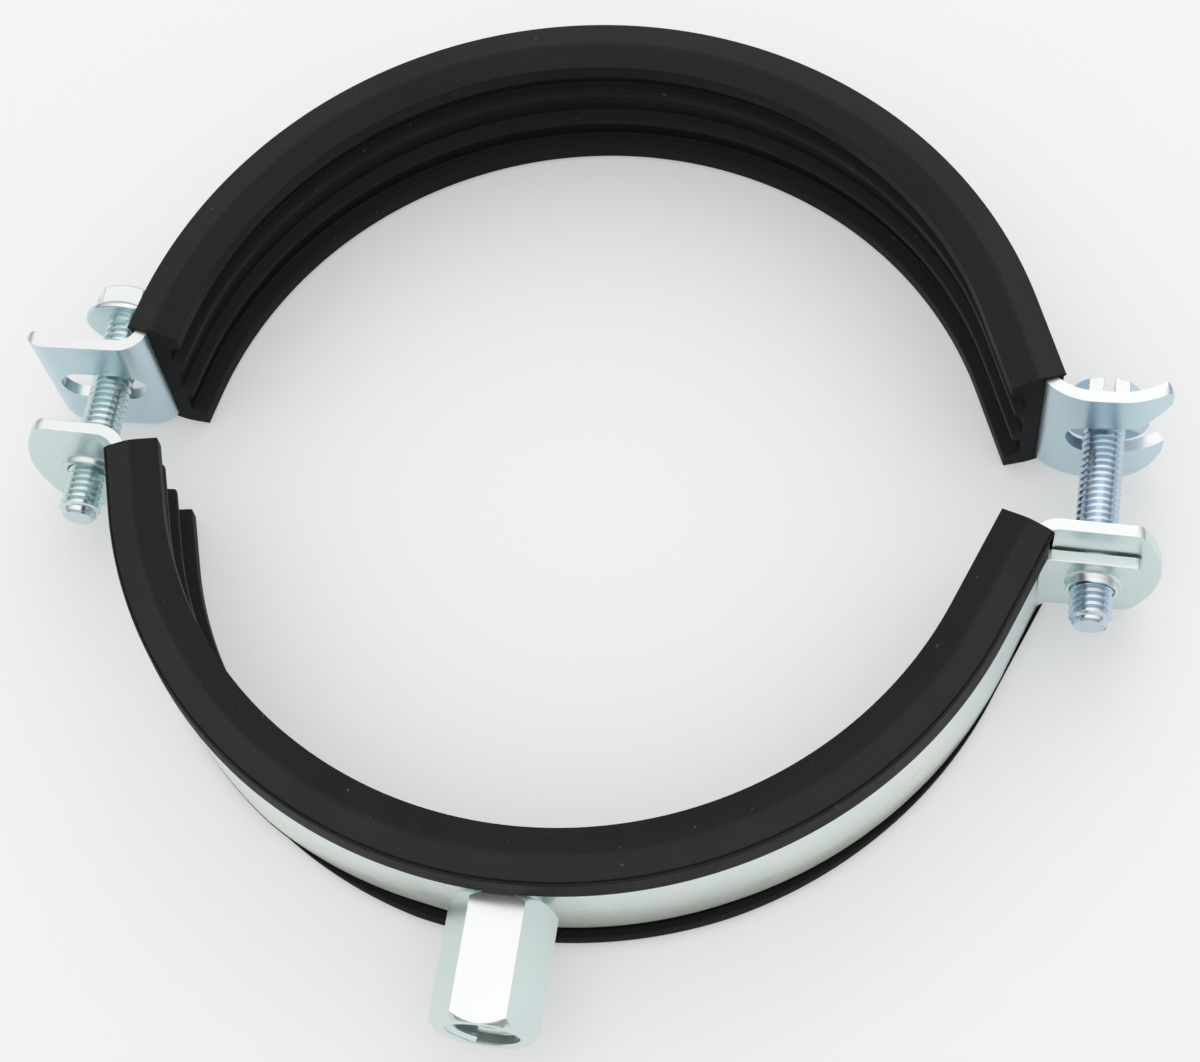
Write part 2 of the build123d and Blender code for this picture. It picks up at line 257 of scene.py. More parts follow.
def combined(mesh, operation, *others):
    """The mesh joined with, cut by or kept inside each of the others in turn."""
    for other in others:
        tool = bpy.data.objects.new("tool", other)
        bpy.context.collection.objects.link(tool)
        mesh = through(mesh, "BOOLEAN", object=tool, operation=operation, solver="EXACT")
        bpy.data.objects.remove(tool)
    return mesh


def turned(points, steps=turned_steps):
    """A solid turned on a lathe from its outline in radius and height, which runs from axis to axis
    or ends where it began."""
    bm = bmesh.new()
    outline = [bm.verts.new((radius, 0, height)) for radius, height in points]
    edges = [bm.edges.new(pair) for pair in zip(outline, outline[1:])]
    bmesh.ops.spin(
        bm,
        geom=outline + edges,
        cent=(0, 0, 0),
        axis=(0, 0, 1),
        dvec=(0, 0, 0),
        angle=2 * pi,
        steps=steps,
        use_merge=True,
    )
    return mesh_of(bm)


def prism(corners, bottom, top):
    """A flat outline in X and Y pulled up from one height to another."""
    bm = bmesh.new()
    face = bm.faces.new([bm.verts.new((x, y, bottom)) for x, y in corners])
    pulled = bmesh.ops.extrude_face_region(bm, geom=[face])
    raised = [v for v in pulled["geom"] if isinstance(v, bmesh.types.BMVert)]
    bmesh.ops.translate(bm, verts=raised, vec=(0, 0, top - bottom))
    return mesh_of(bm)


def hexagon(width, bottom, top):
    """A hexagonal bar with a flat facing Y, as wide across its flats as given."""
    corner = width / sqrt(3)
    angles = [k * pi / 3 for k in range(6)]
    return prism([(corner * cos(angle), corner * sin(angle)) for angle in angles], bottom, top)


def thread(core, crest, pitch, start, end):
    """The helical ridge of a screw thread along Z. A crest below the core makes an inner thread."""
    bm = bmesh.new()
    root = thread_root_share * pitch
    tip = thread_crest_share * pitch
    section = ((core, -root), (crest, -tip), (crest, tip), (core, root))
    face = bm.faces.new([bm.verts.new((radius, 0, start + height)) for radius, height in section])
    turns = (end - start) / pitch
    steps = ceil(turns * thread_steps)
    bmesh.ops.spin(
        bm,
        geom=[face],
        cent=(0, 0, 0),
        axis=(0, 0, 1),
        dvec=(0, 0, (end - start) / steps),
        angle=2 * pi * turns,
        steps=steps,
    )
    return mesh_of(bm, weld=1e-5)


def moved(mesh, place):
    """The mesh moved by a matrix."""
    mesh.transform(place)
    return mesh


def eased(mesh, size, segments=2, angle=35):
    """The mesh with every edge sharper than the angle rounded off."""
    bm = bmesh.new()
    bm.from_mesh(mesh)
    bmesh.ops.remove_doubles(bm, verts=bm.verts, dist=tiny)
    bmesh.ops.dissolve_limit(bm, angle_limit=radians(0.1), verts=bm.verts, edges=bm.edges)
    sharp = [e for e in bm.edges if len(e.link_faces) == 2 and e.calc_face_angle() > radians(angle)]
    bmesh.ops.bevel(
        bm,
        geom=sharp,
        offset=size,
        offset_type="OFFSET",
        segments=segments,
        profile=0.5,
        affect="EDGES",
        clamp_overlap=True,
        material=-1,
    )
    return mesh_of(bm)


def joined(*meshes):
    """Several closed shells in one mesh."""
    bm = bmesh.new()
    for mesh in meshes:
        bm.from_mesh(mesh)
    result = bpy.data.meshes.new("shape")
    bm.to_mesh(result)
    bm.free()
    return result


def piece(name, mesh, place, material, body, node, smooth=40):
    """A finished piece of the clamp: in place, smooth shaded, riding on its body."""
    mesh = moved(mesh, to_metres @ place)
    for polygon in mesh.polygons:
        polygon.use_smooth = True
    mesh.set_sharp_from_angle(angle=radians(smooth))
    mesh = through(mesh, "WEIGHTED_NORMAL", keep_sharp=True, mode="FACE_AREA", weight=50)
    mesh.name = name
    mesh.materials.clear()
    mesh.materials.append(material)
    thing = bpy.data.objects.new(name, mesh)
    bpy.context.collection.objects.link(thing)
    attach(thing, body)
    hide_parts(node)


# Strips

@dataclass
class Ear:
    """One end of a half. From an angle of the ring on, its strip runs straight, bends outwards, may
    ease into the ear's flat and may curl at the tip. Its liner is cut at a length and a slant."""

    side: int
    straight_from: float
    bend_radius: float
    flat_end: float
    liner_length: float
    cut_slant: float = 0.0
    easing_radius: float = 0.0
    easing: float = 0.0
    curl_radius: float = 0.0
    curl: float = 0.0

    def bend(self, strip_radius, ear_height):
        """The bend's centre, the straight's length and where the ear's flat begins."""
        lean = radians(self.straight_from)
        easing = radians(self.easing)
        widening = max(self.easing_radius - self.bend_radius, 0)
        centre_y = ear_height + self.bend_radius + widening * (1 - cos(easing))
        reach = strip_radius + self.bend_radius
        length = (reach * sin(lean) - centre_y) / cos(lean)
        centre_x = reach * cos(lean) + length * sin(lean)
        return (centre_x, centre_y), length, centre_x + widening * sin(easing)

    def stations(self, centre, radius, first, last, step):
        """Points round an arc of the strip's inner face, each with the direction off that face."""
        steps = max(1, ceil(abs(last - first) / step))
        result = []
        for k in range(steps + 1):
            angle = radians(first + (last - first) * k / steps)
            outward = Vector((self.side * cos(angle), sin(angle), 0))
            result.append((Vector((self.side * centre[0], centre[1], 0)) + outward * radius, outward))
        return result

    def ring(self, strip_radius):
        """The stations from the crown of the ring to where it runs straight on."""
        return self.stations((0, 0), strip_radius, 90, self.straight_from, ring_step)

    def straight(self, strip_radius, length):
        """The station a length along the straight that runs on from the ring."""
        lean = radians(self.straight_from)
        outward = Vector((self.side * cos(lean), sin(lean), 0))
        onward = Vector((self.side * sin(lean), -cos(lean), 0))
        return outward * strip_radius + onward * length, outward

    def run(self, strip_radius, ear_height):
        """The stations from the crown of the ring to the end of the straight, at the bend."""
        _, length, _ = self.bend(strip_radius, ear_height)
        lengths = [length * k / straight_steps for k in range(1, straight_steps + 1)]
        return self.ring(strip_radius) + [self.straight(strip_radius, along) for along in lengths]

    def foot(self, strip_radius, ear_height):
        """The stations of the bend, the flat and the curl."""
        centre, _, flat_start = self.bend(strip_radius, ear_height)
        eased_from = 90 - self.easing
        easing_centre = (flat_start, ear_height + self.easing_radius)
        curl_centre = (self.flat_end, ear_height + self.curl_radius)
        result = self.stations(centre, -self.bend_radius, self.straight_from, eased_from, bend_step)
        result += self.stations(easing_centre, -self.easing_radius, eased_from, 90, curl_step)
        result += self.stations(curl_centre, -self.curl_radius, 90, 90 + self.curl, curl_step)
        return result


def end_to_end(first, second):
    """Two paths that start at the crown made one, from the end of the first to that of the second."""
    return first[::-1] + second[1:]


def skinned(sections):
    """A closed shell through a row of sections that have the same number of points."""
    bm = bmesh.new()
    rows = [[bm.verts.new(point) for point in section] for section in sections]
    for first, second in zip(rows, rows[1:]):
        for k in range(-1, len(first) - 1):
            bm.faces.new((first[k], first[k + 1], second[k + 1], second[k]))
    bm.faces.new(rows[0])
    bm.faces.new(rows[-1])
    return mesh_of(bm)


def along_path(outline_at, strip_radius, stations):
    """A shell through an outline in radius and height, set up at each station of a strip's path."""
    return skinned([
        [
            point + outward * (radius - strip_radius) + Vector((0, 0, height))
            for radius, height in outline_at(90 - degrees(atan2(point.y, point.x)))
        ]
        for point, outward in stations
    ])


def bent_strip(strip_radius, ear_height, ears, lip_out=None):
    """A half's strip, from the tip of one ear round the ring to the tip of the other. Its lower
    edge leans out where it has come over the liner's lip."""
    paths = [ear.run(strip_radius, ear_height) + ear.foot(strip_radius, ear_height)[1:] for ear in ears]
    outer = strip_radius + strip_thickness
    bottom, top = strip_bottom, strip_bottom + strip_width

    def outline(offset):
        lean = strip_lean * (1 - lip_out(offset)) if lip_out else 0
        return (strip_radius + lean, bottom), (outer + lean, bottom), (outer, top), (strip_radius, top)

    return along_path(outline, strip_radius, end_to_end(*paths))


def lower_lip_out(offset):
    """How far the lower half's lower lip stands out at some degrees from the nut: 1 at the nut, 0
    where the strip has come over it and a small share again at the ears."""
    full, gone, back, end = left_rim_spans if offset > 0 else right_rim_spans
    place = abs(offset)
    at_end = min(1, (place - back) / (end - back)) * end_share
    return min(1, max(0, (gone - place) / (gone - full), at_end))


def across_ears(outline, reach=40):
    """A cutter through the ears from an outline in X and Z, as a prism along Y."""
    return moved(prism(outline, -reach, reach), towards_minus_y)


def arc(centre, radius, first, last, steps=16):
    """Points along an arc from one angle to another, in degrees."""
    angles = [radians(first + (last - first) * k / steps) for k in range(steps + 1)]
    return [(centre[0] + radius * cos(a), centre[1] + radius * sin(a)) for a in angles]


def hole(x, radius):
    """The outline of a round hole in an ear, on its mid-line."""
    return arc((x, middle), radius, 0, 360 - 360 / hole_corners, hole_corners - 1)


def rounded_end_waste(side, reach):
    """What is cut off a lower ear: all beyond an arc about the mid-line, with eased corners."""
    half = strip_width / 2
    inside = lower_end_radius - lower_end_corner
    corner_y = half - lower_end_corner
    corner_x = sqrt(inside**2 - corner_y**2)
    corner_angle = degrees(asin(corner_y / inside))
    centre_x = reach - lower_end_radius
    near, far = centre_x + corner_x, reach + past_tip
    beside = half + 1
    edge = [(near, beside), (near, half)]
    edge += arc((near, corner_y), lower_end_corner, 90, corner_angle, 8)
    edge += arc((centre_x, 0), lower_end_radius, corner_angle, -corner_angle, 32)
    edge += arc((near, -corner_y), lower_end_corner, -corner_angle, -90, 8)
    edge += [(near, -beside), (far, -beside), (far, beside)]
    return across_ears([(side * x, middle + y) for x, y in edge])


def corner_waste(side, tip, edge, size):
    """What is cut off an upper ear's corner, at its top edge, 1, or its lower one, -1."""
    inner_x, inner_y = tip - size, strip_width / 2 - size
    far, beside = tip + past_tip, strip_width / 2 + past_tip
    outline = arc((inner_x, inner_y), size, 90, 0, 12)
    outline += [(far, inner_y), (far, beside), (inner_x, beside)]
    return across_ears([(side * x, middle + edge * y) for x, y in outline])


def upper_strip():
    """The upper band with its closed slot on the left and its open, flared slot on the right."""
    left, right = left_crossing, right_crossing
    left_tip = left + upper_left_flat + upper_left_curl_radius * sin(radians(upper_left_curl))
    right_tip = right + upper_right_flat + upper_right_curl_radius * sin(radians(upper_right_curl))
    mesh = bent_strip(upper_strip_radius, upper_ear_height, upper_ears)
    half = slot_height / 2
    low, high = middle - half, middle + half
    outer_end = -(left + left_slot_outer - half)
    inner_end = -(left - left_slot_inner + half)
    closed_slot = arc((inner_end, middle), half, -90, 90, 20)
    closed_slot += arc((outer_end, middle), half, 90, 270, 20)
    slot_end = right - right_slot_inner + half
    mouth = right + right_mouth_start
    past = right_tip + past_tip
    open_slot = arc((slot_end, middle), half, 90, 270, 20)
    open_slot += [(past, low), (past, high + past - mouth), (mouth, high)]
    wastes = [across_ears(closed_slot), across_ears(open_slot)]
    for side, tip in ((1, right_tip), (-1, left_tip)):
        wastes.append(corner_waste(side, tip, -1, upper_lower_corner))
        wastes.append(corner_waste(side, tip, 1, upper_top_corner))
    return eased(combined(mesh, "DIFFERENCE", *wastes), steel_edge)


def lower_strip():
    """The lower band with its rounded ears, its holes and the thread collar on the left ear."""
    mesh = bent_strip(lower_strip_radius, lower_ear_height, lower_ears, lower_lip_out)
    wastes = [rounded_end_waste(ear.side, ear.flat_end) for ear in lower_ears]
    wastes.append(across_ears(hole(-left_screw_x, thread_hole_radius)))
    wastes.append(across_ears(hole(-right_screw_x, clear_hole_radius)))
    mesh = eased(combined(mesh, "DIFFERENCE", *wastes), steel_edge)
    collar_place = Matrix.Translation((-left_screw_x, 0, middle)) @ towards_plus_y
    return joined(mesh, moved(thread_collar(), collar_place))


def thread_collar():
    """The collar drawn out of the left lower ear for its thread, along Z from the ring's middle."""
    face = lower_ear_height + strip_thickness
    root = collar_radius + collar_root_fillet
    end = face + collar_height
    outline = [(thread_hole_radius, face - overlap), (root, face - overlap), (root, face)]
    outline += [(root - r, face + z) for r, z in root_fillet(collar_root_fillet)]
    outline += [(collar_radius, end - collar_edge), (collar_radius - collar_edge, end)]
    outline += [(thread_hole_radius + collar_flare, end), (thread_hole_radius, end - collar_flare)]
    return turned(outline + outline[:1])


def root_fillet(size, steps=6):
    """Points of a hollow quarter round from a face up to a collar's side."""
    return [
        (size * sin(k * pi / 2 / steps), size * (1 - cos(k * pi / 2 / steps)))
        for k in range(1, steps + 1)
    ]


lower_ears = (
    Ear(
        side=1,
        straight_from=17.0,
        bend_radius=5.3,
        flat_end=-left_screw_x + lower_left_reach,
        liner_length=9.3,
        cut_slant=2.9,
    ),
    Ear(
        side=-1,
        straight_from=20.5,
        bend_radius=4.5,
        flat_end=right_screw_x + lower_right_reach,
        liner_length=15.75,
    ),
)
upper_ears = (
    Ear(
        side=1,
        straight_from=20.5,
        bend_radius=3.5,
        easing_radius=10.0,
        easing=36.0,
        flat_end=right_crossing + upper_right_flat,
        curl_radius=upper_right_curl_radius,
        curl=upper_right_curl,
        liner_length=12.9,
    ),
    Ear(
        side=-1,
        straight_from=13.0,
        bend_radius=4.5,
        flat_end=left_crossing + upper_left_flat,
        curl_radius=upper_left_curl_radius,
        curl=upper_left_curl,
        liner_length=4.4,
        cut_slant=-2.7,
    ),
)


# Liners

def softened(corners, steps=3):
    """An outline whose corners are rounded: each corner as radius, height and size of rounding."""
    widest = 0.45
    outline = []
    for k, (radius, height, size) in enumerate(corners):
        corner = Vector((radius, height))
        if not size:
            outline.append(tuple(corner))
            continue
        before = Vector(corners[k - 1][:2]) - corner
        after = Vector(corners[(k + 1) % len(corners)][:2]) - corner
        first = before.normalized() * min(size, before.length * widest)
        last = after.normalized() * min(size, after.length * widest)
        for step in range(steps + 1):
            t = step / steps
            outline.append(tuple(corner + first * (1 - t) ** 2 + last * t**2))
    return outline


def channel_outline(seat_radius, strip_radius, rim_share=None):
    """The moulded channel's section: two edges, and between them a groove with two ribs. The lower
    half's has a crease in its upper edge, and below it a rim that stands out by the share given."""
    pocket = strip_radius - pocket_clearance
    strip_outside = strip_radius + strip_thickness
    outer = strip_outside + lip_thickness
    shelf = strip_width / 2 + pocket_clearance
    groove = seat_radius + groove_depth
    rib = seat_radius + rib_setback
    near, far = (rib_spacing - rib_width) / 2, (rib_spacing + rib_width) / 2
    crown = seat_radius + crown_distance
    upper_half = [
        (groove, near - rib_slope, rubber_edge),
        (rib, near, rubber_edge),
        (rib, far, rubber_edge),
        (groove, far + rib_slope, rubber_edge),
        (groove, middle - edge_land - rib_slope, rubber_edge),
        (seat_radius, middle - edge_land, rubber_edge),
        (seat_radius, middle - edge_crown, inner_corner),
        (crown, middle, crown_rounding),
        (outer, middle - edge_crown, rubber_edge),
        (outer, shelf, 0),
        (pocket, shelf, 0),
    ]
    lower_half = [(radius, -height, size) for radius, height, size in upper_half[::-1]]
    if rim_share is not None:
        crease = outer - crease_setback
        foot = middle - edge_crown
        shoulder = foot + crease_rise
        upper_half[-3:-1] = [
            (crease - crease_width / 2, shoulder, crease_edge),
            (crease, shoulder - crease_depth, 0),
            (crease + crease_width / 2, shoulder - crease_depth / 2, crease_edge),
            (outer - lip_taper, foot - lip_taper, lip_edge),
            (outer, foot - 3 * lip_taper, lip_edge),
            (outer, shelf, 0),
        ]
        rim_outside = outer - rim_tuck + (rim_spread + rim_tuck) * rim_share
        rim_inside = rim_outside - rim_sliver - rim_thickness * rim_share
        gutter = strip_outside + strip_lean * (1 - rim_share)
        lower_half[:3] = [
            (pocket, -shelf, 0),
            (gutter, -shelf, 0),
            (gutter, gutter_floor - middle, 0),
            (rim_inside, gutter_floor - middle, 0),
            (rim_inside, rim_height - middle, lip_edge),
            (rim_outside, rim_height - middle, rim_edge),
            (rim_outside, edge_crown - middle, rim_edge),
        ]
    return [(radius, middle + height) for radius, height in softened(upper_half + lower_half)]


def liner(seat_radius, strip_radius, ear_height, ears, lip_out=None):
    """A moulded channel round the ring and straight on, with a lip along each side of the strip's
    back that stops where the strip bends. A lower lip that the strip has come over is the channel's
    own rim."""
    outer = strip_radius + strip_thickness + lip_thickness
    lip_inside = strip_radius + strip_thickness + pocket_clearance
    shelf = strip_width / 2 + pocket_clearance
    runs = [ear.run(strip_radius, ear_height) for ear in ears]
    liner_ends = [ear.straight(strip_radius, ear.liner_length) for ear in ears]
    rings = [ear.ring(strip_radius) + [end] for ear, end in zip(ears, liner_ends)]

    def channel_section(offset):
        return channel_outline(seat_radius, strip_radius, lip_out(offset) if lip_out else None)

    def lip_section(side, offset):
        lean = strip_lean * (1 - lip_out(offset)) if lip_out else 0
        corners = []
        for radius, height, size in (
            (lip_inside, side * shelf, 0),
            (outer, side * shelf, 0),
            (outer, side * lip_end, rubber_edge),
            (lip_inside, side * lip_end, rubber_edge),
        ):
            corners.append((radius + lean * (0.5 - height / strip_width), height, size))
        return [(radius, middle + height) for radius, height in softened(corners)]

    channel = along_path(channel_section, strip_radius, end_to_end(*rings))
    slant_cut(channel, strip_radius, ears)
    lip_path = end_to_end(*runs)
    lips = []
    for side in (1,) if lip_out else (1, -1):
        lips.append(along_path(lambda offset: lip_section(side, offset), strip_radius, lip_path))
    return joined(channel, *lips)


def slant_cut(channel, strip_radius, ears):
    """Lean the channel's end faces, so that one edge of the liner runs on further than the other."""
    for ear in ears:
        end, _ = ear.straight(strip_radius, ear.liner_length)
        start, _ = ear.straight(strip_radius, 0)
        onward = (end - start).normalized()
        slope = tan(radians(ear.cut_slant))
        for vertex in channel.vertices:
            if (vertex.co - end).dot(onward) > -tiny:
                vertex.co += onward * (vertex.co.z - middle) * slope


# Screws, nut plate and connection nut

def screw():
    """A flanged hexagon screw along Z, its flange at the origin and its tip below."""
    head = combined(screw_head(), "UNION", screw_flange())
    half, past = driver_slot_width / 2, flange_radius + 1
    outline = [(-half, -past), (half, -past), (half, past), (-half, past)]
    slot = prism(outline, head_height - driver_slot_depth, head_height + 1)
    head = eased(combined(head, "DIFFERENCE", slot), screw_edge)
    return joined(head, screw_shank(), screw_ridge())


def screw_head():
    """The hexagon with its corners turned off at the top."""
    bottom = flange_rim - overlap
    corner = hex_width / sqrt(3)
    flat_radius = hex_width / 2 - head_chamfer_in
    beyond = corner + 1
    drop = hex_chamfer * (beyond - flat_radius) / (corner - flat_radius)
    envelope = turned([
        (0, bottom - 1),
        (beyond, bottom - 1),
        (beyond, head_height - drop),
        (flat_radius, head_height),
        (0, head_height),
    ], head_steps)
    return combined(hexagon(hex_width, bottom, head_height), "INTERSECT", envelope)


def screw_flange():
    """The flange, which rises a little towards the hexagon."""
    rise = flange_rim + flange_slope
    return turned([
        (0, 0),
        (flange_radius - flange_under_edge, 0),
        (flange_radius, flange_under_edge),
        (flange_radius, flange_rim - flange_edge_down),
        (flange_radius - flange_edge_in, flange_rim),
        (hex_width / 2, rise),
        (0, rise),
    ], head_steps)


def screw_shank():
    """The core of the thread, pointed at its tip and thicker under the head."""
    return turned([
        (0, -screw_length),
        (screw_root_radius - screw_point, -screw_length),
        (screw_root_radius, screw_point - screw_length),
        (screw_root_radius, -screw_neck),
        (screw_neck_radius, -overlap),
        (screw_neck_radius, overlap),
        (0, overlap),
    ])


def screw_ridge():
    """The thread's ridge, which grows to its full height from the tip."""
    sunk = screw_root_radius - thread_sink
    start = screw_thread_start - screw_length
    ridge = thread(sunk, screw_radius, screw_pitch, start, -screw_thread_end)
    for vertex in ridge.vertices:
        above_point = max(0, vertex.co.z + screw_length - screw_point)
        radius = sqrt(vertex.co.x**2 + vertex.co.y**2)
        allowed = sunk + above_point * screw_run_in
        if radius > allowed:
            vertex.co.x *= allowed / radius
            vertex.co.y *= allowed / radius
    return ridge


def screw_place(x, gap, turn):
    """Where a screw stands: its head towards +Y, a gap off the back of the upper ear."""
    back = upper_ear_height + strip_thickness
    along = (x + back * turn_sin) / turn_cos
    flange_y = upper_rise + along * turn_sin + back * turn_cos + gap
    about_itself = Matrix.Rotation(radians(-turn), 4, "Z")
    return Matrix.Translation((x, flange_y, middle)) @ towards_plus_y @ about_itself


def square_plate():
    """The nut plate along Z, its pad at the origin and its collar up."""
    bottom, top = plate_pad_height, plate_pad_height + plate_thickness
    outline = []
    for sx, sy, first in ((1, 1, 0), (-1, 1, 90), (-1, -1, 180), (1, -1, 270)):
        reach = plate_length / 2 if sx > 0 else plate_left_end
        centre = (sx * (reach - plate_corner), sy * (plate_height / 2 - plate_corner))
        outline += arc(centre, plate_corner, first, first + 90, 6)
    pad_top = bottom + overlap
    pad = turned([(0, 0), (plate_pad_radius, 0), (plate_pad_radius, pad_top), (0, pad_top)])
    whole = combined(prism(outline, bottom, top), "UNION", pad, plate_collar(top))
    past = top + plate_collar_height + 1
    bore = turned([(0, -1), (thread_hole_radius, -1), (thread_hole_radius, past), (0, past)])
    return eased(combined(whole, "DIFFERENCE", bore), plate_edge)


def plate_collar(top):
    """The collar drawn out of the nut plate, with an uneven end."""
    root = plate_collar_radius + plate_collar_fillet
    end = top + plate_collar_height
    outline = [(0, top - overlap), (root, top - overlap), (root, top)]
    outline += [(root - r, top + z) for r, z in root_fillet(plate_collar_fillet)]
    collar = turned(outline + [(plate_collar_radius, end), (0, end)])
    for vertex in collar.vertices:
        if vertex.co.z > end - tiny:
            turn = atan2(vertex.co.y, vertex.co.x)
            vertex.co.z -= plate_burr * (0.5 + 0.3 * sin(3 * turn + 1) + 0.2 * sin(7 * turn))
    return collar


def long_nut():
    """The connection nut along Z, its seat at the origin and its mouth up."""
    half = nut_width / 2
    corner = nut_width / sqrt(3)
    beyond = corner + 0.2
    drop = nut_chamfer * (beyond - half) / (corner - half)
    envelope = turned([
        (0, nut_stand_off),
        (half, nut_stand_off),
        (beyond, nut_stand_off + drop),
        (beyond, nut_length - drop),
        (half, nut_length),
        (0, nut_length),
    ], head_steps)
    step = nut_length - outer_thread_depth
    past = 0.1
    bore = turned([
        (0, -1),
        (inner_thread_radius, -1),
        (inner_thread_radius, step),
        (outer_thread_radius, step),
        (outer_thread_radius, nut_length - nut_mouth_flare),
        (outer_thread_radius + nut_mouth_flare + past, nut_length + past),
        (0, nut_length + past),
    ])
    body = combined(hexagon(nut_width, nut_stand_off / 2, nut_length), "INTERSECT", envelope)
    body = eased(combined(body, "DIFFERENCE", bore), nut_edge)
    outer = thread(
        outer_thread_radius + thread_sink,
        outer_thread_core,
        outer_thread_pitch,
        step + outer_thread_start,
        nut_length - outer_thread_end,
    )
    inner = thread(
        inner_thread_radius + thread_sink,
        inner_thread_core,
        inner_thread_pitch,
        inner_thread_margin,
        step - inner_thread_margin,
    )
    return joined(body, outer, inner, weld_bead())


def weld_bead():
    """The low round bead between the nut and the strip."""
    rise = nut_stand_off + weld_rise
    outline = [
        (weld_inside_radius, rise),
        (weld_radius, rise),
        (weld_radius, -weld_sink),
        (weld_inside_radius, -weld_inner_sink),
    ]
    return turned(outline + outline[:1])


# Materials

# Rubber: painted shade for its walls, then a darker and a paler tone each of its inner side in painted
# shade and of its outer side in painted light
painted_wall_shade = (0.007, 0.007, 0.0085)
shaded_inner_blacks = ((0.0145, 0.0145, 0.015), (0.0195, 0.0195, 0.0195))
lit_outer_blacks = ((0.023, 0.0235, 0.0235), (0.031, 0.0315, 0.031))
dust = (0.09, 0.08, 0.07)

# Zinc plate: a painted highlight for what faces up, cloudy places, a painted reflection for the
# lower band's front, and its lower edge
zinc_painted_top_light = (0.82, 0.84, 0.83)
zinc_cloud = (0.6, 0.68, 0.7)
zinc_painted_front_reflection = (0.87, 0.96, 0.95)
zinc_yellow = (0.90, 0.93, 0.80)
zinc_metallic = 0.9
cloud_share = 0.12
edge_dulling = 0.6

# How fine the patterns are, per metre
rubber_streak_scale = 900.0
rubber_cloud_scale = 60.0
rubber_grain_scale = 2600.0
rubber_speck_scale = 1300.0
zinc_cloud_scale = 70.0
zinc_mottle_scale = 160.0

# In metres: half the width over which two tints meet, where the painted reflection on the lower
# band's front starts in depth and is full, and where its lower edge starts in height and is full
tint_seam = 0.004
front_span = (-0.02, -0.04)
edge_span = (0.014, 0.003)


class Value:
    """A shader socket that takes part in plain arithmetic."""

    def __init__(self, shader, socket):
        self.shader = shader
        self.socket = socket

    def _math(self, operation, first, second):
        return self.shader.node("ShaderNodeMath", {"operation": operation}, {0: first, 1: second})

    def __add__(self, other):
        return self._math("ADD", self, other)

    def __radd__(self, other):
        return self._math("ADD", other, self)

    def __sub__(self, other):
        return self._math("SUBTRACT", self, other)

    def __rsub__(self, other):
        return self._math("SUBTRACT", other, self)

    def __mul__(self, other):
        return self._math("MULTIPLY", self, other)

    def __rmul__(self, other):
        return self._math("MULTIPLY", other, self)


class Shader:
    """A material or a world around its one surface node, with its other nodes made by one method."""

    def __init__(self, owner, surface="Principled BSDF", **constants):
        owner.use_nodes = True
        self.owner = owner
        self.tree = owner.node_tree
        self.surface = self.tree.nodes[surface]
        for socket, value in constants.items():
            self.surface.inputs[socket.replace("_", " ")].default_value = value

    def node(self, kind, settings=None, inputs=None, output=0):
        """One node: its settings first, then the values or links of its sockets."""
        node = self.tree.nodes.new(kind)
        for name, value in (settings or {}).items():
            setattr(node, name, value)
        for name, value in (inputs or {}).items():
            if isinstance(value, Value):
                self.tree.links.new(value.socket, node.inputs[name])
            else:
                node.inputs[name].default_value = value
        return Value(self, node.outputs[output])

    def feed(self, name, value):
        """Link a value to one of the surface's sockets."""
        self.tree.links.new(value.socket, self.surface.inputs[name])

    def coordinates(self, output="Object"):
        """Object coordinates, in metres, or another output of their node."""
        return self.node("ShaderNodeTexCoord", output=output)

    def parts(self, vector):
        """The three parts of a vector."""
        split = self.node("ShaderNodeSeparateXYZ", {}, {0: vector}).socket.node
        return [Value(self, output) for output in split.outputs]

    def vector(self, operation, *inputs, output="Value"):
        """Arithmetic on vectors."""
        return self.node("ShaderNodeVectorMath", {"operation": operation}, dict(enumerate(inputs)), output)

    def noise(self, vector, scale, detail=3.0, roughness=0.5):
        """A noise value about a half."""
        inputs = {"Vector": vector, "Scale": scale, "Detail": detail, "Roughness": roughness}
        return self.node("ShaderNodeTexNoise", {}, inputs)

    def smooth(self, value, low, high, bottom=0.0, top=1.0):
        """A value mapped smoothly from one span to another."""
        inputs = {"Value": value, "From Min": low, "From Max": high, "To Min": bottom, "To Max": top}
        return self.node("ShaderNodeMapRange", {"interpolation_type": "SMOOTHSTEP"}, inputs)

    def mix(self, factor, first, second):
        """Two colours mixed, each a value or three plain numbers."""
        first, second = (c if isinstance(c, Value) else (*c, 1) for c in (first, second))
        return self.node("ShaderNodeMix", {"data_type": "RGBA"}, {0: factor, 6: first, 7: second}, 2)

    def bump(self, height, strength, distance):
        """A bump on the surface's normal."""
        inputs = {"Height": height, "Strength": strength, "Distance": distance}
        self.feed("Normal", self.node("ShaderNodeBump", {}, inputs, "Normal"))


